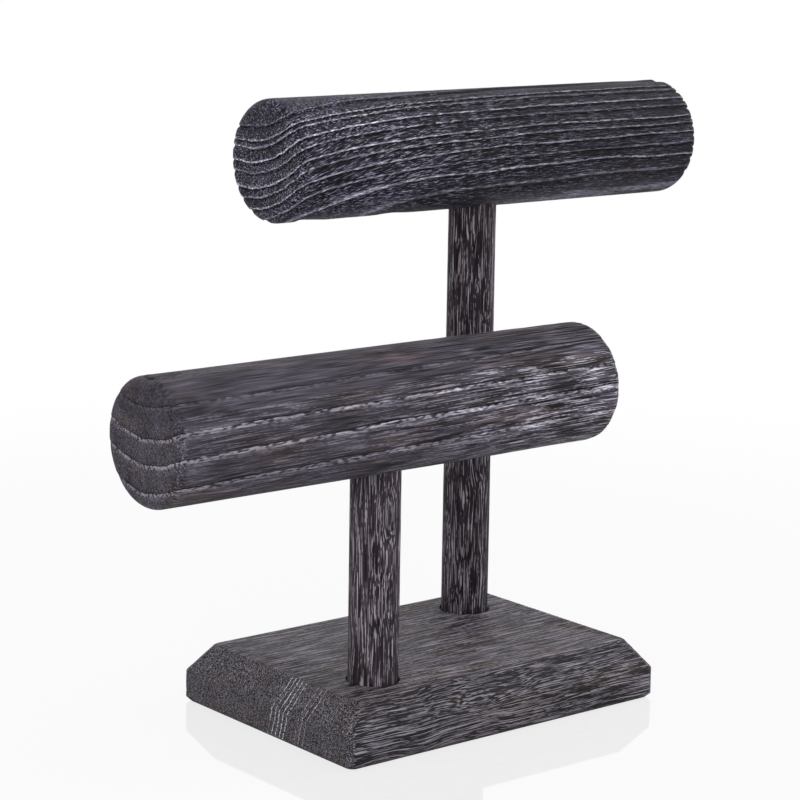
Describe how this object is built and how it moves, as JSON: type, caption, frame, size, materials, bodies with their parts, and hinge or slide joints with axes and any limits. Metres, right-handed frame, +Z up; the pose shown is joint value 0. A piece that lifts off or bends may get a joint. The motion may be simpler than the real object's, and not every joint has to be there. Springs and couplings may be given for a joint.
{
  "type": "bracelet stand",
  "caption": "Tiered wooden bracelet stand: a bevelled base holds a short front post and a tall rear post, each topped by a thick round bar over which bracelets and watches hang.",
  "frame": {"origin": "centre of the underside of the base, which is also the centre of the whole stand's footprint", "axes": "+X along the bars, from the low front bar's free end towards the high rear bar's free end; -Y is the front, where the low bar stands; +Z is up"},
  "size_m": [0.293, 0.106, 0.2337],
  "materials": {
    "base_wood": "charred and brushed, grey lime in the grain",
    "post_wood": "charred and brushed, grey lime in the pores",
    "lower_bar_wood": "charred and brushed, wide growth rings",
    "upper_bar_wood": "charred and deeply brushed, pale growth-ring grooves"
  },
  "bodies": {
    "base": {"base": "base_wood"},
    "front_post": {"front_post": "post_wood"},
    "rear_post": {"rear_post": "post_wood"},
    "lower_bar": {"lower_bar": "lower_bar_wood"},
    "upper_bar": {"upper_bar": "upper_bar_wood"}
  },
  "joints": [
    {"name": "lower_lift", "type": "slide", "parent": "base", "child": "front_post", "axis": [0, 0, 1], "range_m": [0, 0.026]},
    {"name": "lower_swivel", "type": "hinge", "parent": "front_post", "child": "lower_bar", "pos_m": [-0.045, -0.027, 0.1245], "axis": [0, 0, 1], "range_deg": [-130, 12]},
    {"name": "upper_lift", "type": "slide", "parent": "base", "child": "rear_post", "axis": [0, 0, 1], "range_m": [0, 0.026]},
    {"name": "upper_swivel", "type": "hinge", "parent": "rear_post", "child": "upper_bar", "pos_m": [0.045, 0.027, 0.2105], "axis": [0, 0, 1], "continuous": true}
  ]
}
